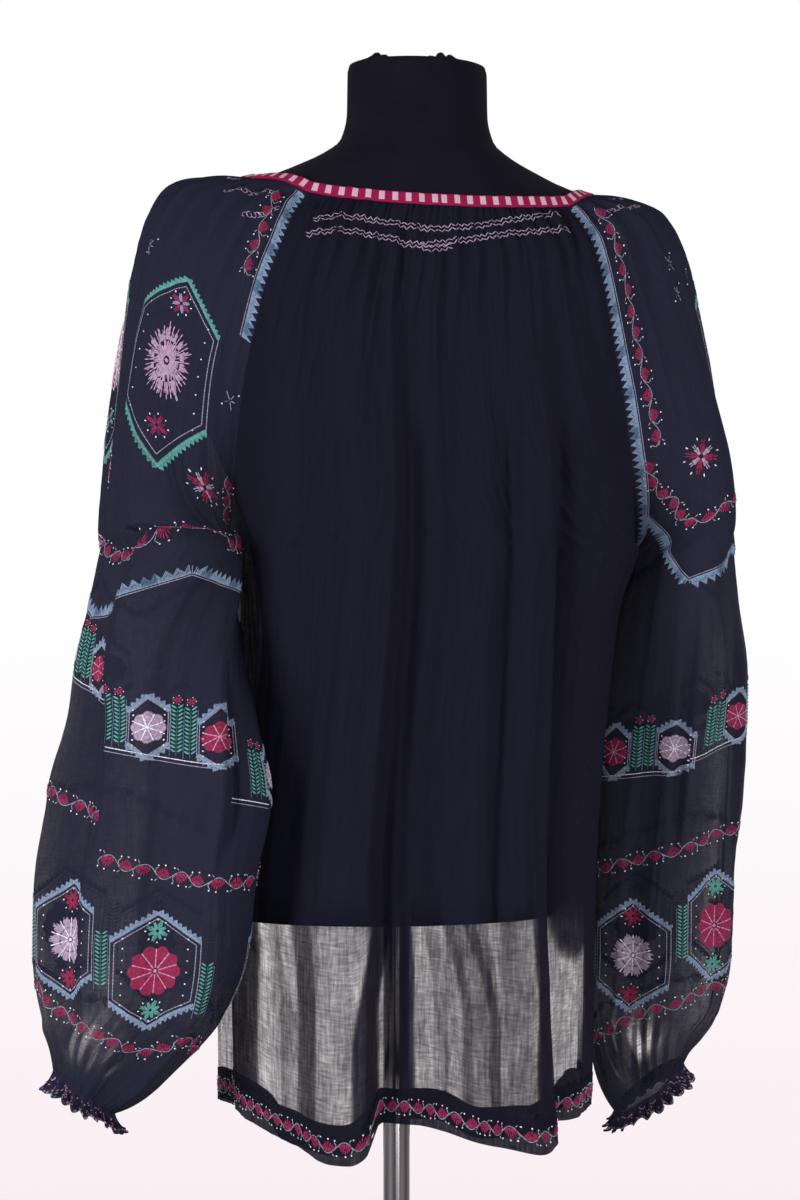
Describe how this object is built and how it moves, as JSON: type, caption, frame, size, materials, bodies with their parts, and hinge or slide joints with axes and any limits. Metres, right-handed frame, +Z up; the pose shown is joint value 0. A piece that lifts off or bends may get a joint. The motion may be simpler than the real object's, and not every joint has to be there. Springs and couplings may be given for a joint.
{
  "type": "blouse on dress form",
  "caption": "Gathered raglan blouse of thin dark cotton with full sleeves and ruffled cuffs, on a limbless dress form with pole and round base.",
  "frame": {"origin": "centre of the underside of the round base, on the pole's axis, at floor level", "axes": "+Z up along the pole; -Y the way the back of the blouse faces; +X towards the wearer's right sleeve"},
  "size_m": [0.6044, 0.32, 1.4012],
  "materials": {
    "navy_voile": "thin crinkled cotton voile, nearly black navy, see-through in one layer",
    "lilac_edging": "stitched ruffled edge, lilac and pink specks on navy",
    "checked_tape": "narrow crimson and pale pink checked tape",
    "black_jersey": "smooth black jersey cover",
    "chromed_tube": "polished tube",
    "chromed_plate": "polished flat plate"
  },
  "bodies": {
    "root": {"back_panel": "navy_voile", "front_panel": "navy_voile", "sleeve_left": "navy_voile", "sleeve_right": "navy_voile", "hem_band_back": "navy_voile", "hem_band_front": "navy_voile", "cuff_left": "lilac_edging", "cuff_right": "lilac_edging", "neck_binding": "checked_tape", "form_torso": "black_jersey", "stand_pole": "chromed_tube", "stand_base": "chromed_plate"}
  },
  "joints": []
}
